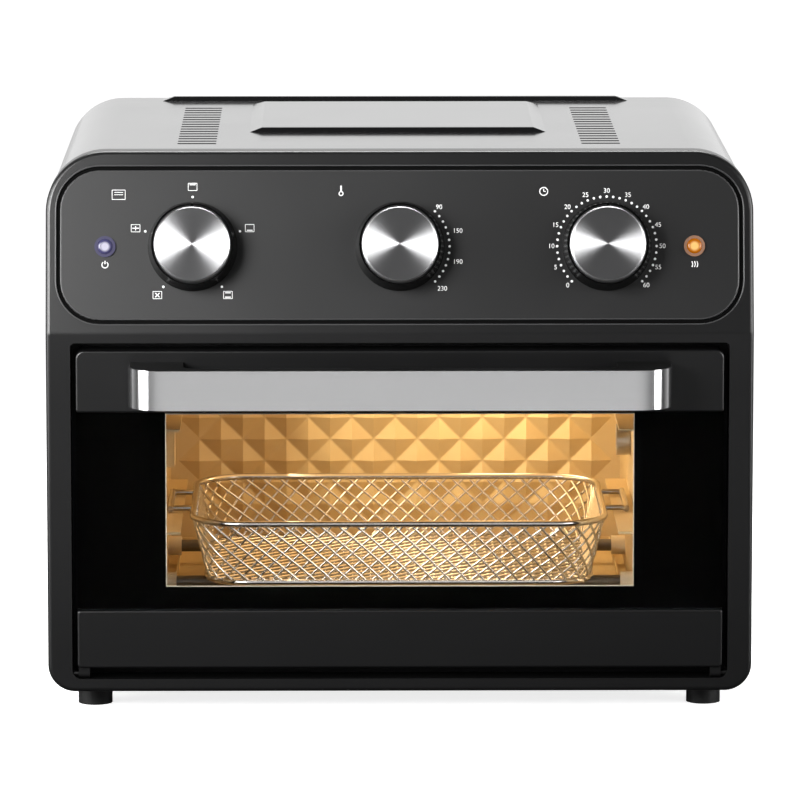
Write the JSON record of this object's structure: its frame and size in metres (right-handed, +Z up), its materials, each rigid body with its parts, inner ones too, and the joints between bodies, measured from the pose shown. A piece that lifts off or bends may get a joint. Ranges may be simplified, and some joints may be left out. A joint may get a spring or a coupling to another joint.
{
  "type": "air fryer",
  "caption": "Countertop oven-type air fryer with a drop-down glass door, knobs on a leaning panel, a wire basket and a top fan.",
  "frame": {"origin": "middle of the bounding box's bottom, on the worktop", "axes": "+X to the right, +Y to the back, +Z up"},
  "size_m": [0.39, 0.368, 0.3125],
  "materials": {
    "case_paint": "semi-gloss black paint",
    "frame_plastic": "satin black",
    "panel_plastic": "satin black",
    "rail_plastic": "satin black",
    "handle_plastic": "black",
    "handle_metal": "brushed",
    "knob_plastic": "gloss black",
    "knob_metal": "turned",
    "shaft_steel": "plain",
    "switch_plastic": "moulded",
    "bezel_plastic": "gloss black",
    "power_lens": "translucent white",
    "heating_lens": "translucent amber",
    "back_sheet": "matt black paint",
    "base_sheet": "zinc coated",
    "cavity_steel": "bright sheet",
    "wire_steel": "bright wire",
    "heater_steel": "heat darkened",
    "ceramic": "glazed ceramic",
    "motor_metal": "plain",
    "fan_metal": "pressed",
    "spit_metal": "plain",
    "door_glass": "clear, lightly tinted",
    "mask_black": "black enamel",
    "lamp_glass": "clear",
    "seal_rubber": "matt",
    "foot_rubber": "matt",
    "gland_plastic": "black"
  },
  "bodies": {
    "chassis": {"outer_case": "case_paint", "front_frame": "frame_plastic", "control_panel": "panel_plastic", "rear_screws": "shaft_steel", "function_switch": "switch_plastic", "temperature_switch": "switch_plastic", "timer_switch": "switch_plastic", "terminal_block": "switch_plastic", "lamp_sockets": "switch_plastic", "lens_bezels": "bezel_plastic", "power_lens": "power_lens", "heating_lens": "heating_lens", "rear_panel": "back_sheet", "base_plate": "base_sheet", "fan_cover": "base_sheet", "face_plate": "cavity_steel", "cavity_left_wall": "cavity_steel", "cavity_right_wall": "cavity_steel", "cavity_floor": "cavity_steel", "cavity_ceiling": "cavity_steel", "cavity_back_wall": "cavity_steel", "fan_guard": "cavity_steel", "runners": "cavity_steel", "spit_bracket": "cavity_steel", "lower_heaters": "heater_steel", "upper_heaters": "heater_steel", "heater_insulators": "ceramic", "lamp_holder": "ceramic", "fan_motor": "motor_metal", "spit_motor": "motor_metal", "lamp_cover": "lamp_glass", "lamp_bulb": "lamp_glass", "feet": "foot_rubber", "cord_gland": "gland_plastic"},
    "door": {"door_top_rail": "rail_plastic", "door_bottom_rail": "rail_plastic", "door_sides": "rail_plastic", "door_glass": "door_glass", "glass_mask": "mask_black", "door_inner_panel": "cavity_steel", "door_seal": "seal_rubber", "handle_core": "handle_plastic", "handle_facing": "handle_metal", "hinge_pins": "shaft_steel"},
    "knob_function": {"function_skirt": "knob_plastic", "function_cap": "knob_metal", "function_shaft": "shaft_steel"},
    "knob_temperature": {"temperature_skirt": "knob_plastic", "temperature_cap": "knob_metal", "temperature_shaft": "shaft_steel"},
    "knob_timer": {"timer_skirt": "knob_plastic", "timer_cap": "knob_metal", "timer_shaft": "shaft_steel"},
    "fan": {"fan_shaft": "shaft_steel", "convection_fan": "fan_metal", "cooling_fan": "fan_metal"},
    "spit_drive": {"spit_socket": "spit_metal"},
    "basket": {"basket_rim": "wire_steel", "basket_net": "wire_steel"},
    "crumb_tray": {"crumb_tray": "cavity_steel"}
  },
  "joints": [
    {"name": "door_hinge", "type": "hinge", "parent": "chassis", "child": "door", "pos_m": [0, -0.143, 0.022], "axis": [1, 0, 0], "range_deg": [0, 80]},
    {"name": "knob_function_turn", "type": "hinge", "parent": "chassis", "child": "knob_function", "pos_m": [-0.114, -0.13602, 0.25945], "axis": [0, 0.9781, -0.2079], "range_deg": [-144, 144]},
    {"name": "knob_temperature_turn", "type": "hinge", "parent": "chassis", "child": "knob_temperature", "pos_m": [0, -0.13602, 0.25945], "axis": [0, 0.9781, -0.2079], "range_deg": [-60, 30]},
    {"name": "knob_timer_turn", "type": "hinge", "parent": "chassis", "child": "knob_timer", "pos_m": [0.114, -0.13602, 0.25945], "axis": [0, 0.9781, -0.2079], "range_deg": [-135, 135]},
    {"name": "fan_spin", "type": "hinge", "parent": "chassis", "child": "fan", "pos_m": [0, 0.0089, 0.24], "axis": [0, 0, 1], "continuous": true},
    {"name": "spit_spin", "type": "hinge", "parent": "chassis", "child": "spit_drive", "pos_m": [0.13, 0.0089, 0.129], "axis": [1, 0, 0], "continuous": true},
    {"name": "basket_slide", "type": "slide", "parent": "chassis", "child": "basket", "axis": [0, -1, 0], "range_m": [0, 0.018]},
    {"name": "tray_slide", "type": "slide", "parent": "chassis", "child": "crumb_tray", "axis": [0, -1, 0], "range_m": [0, 0.018]}
  ]
}
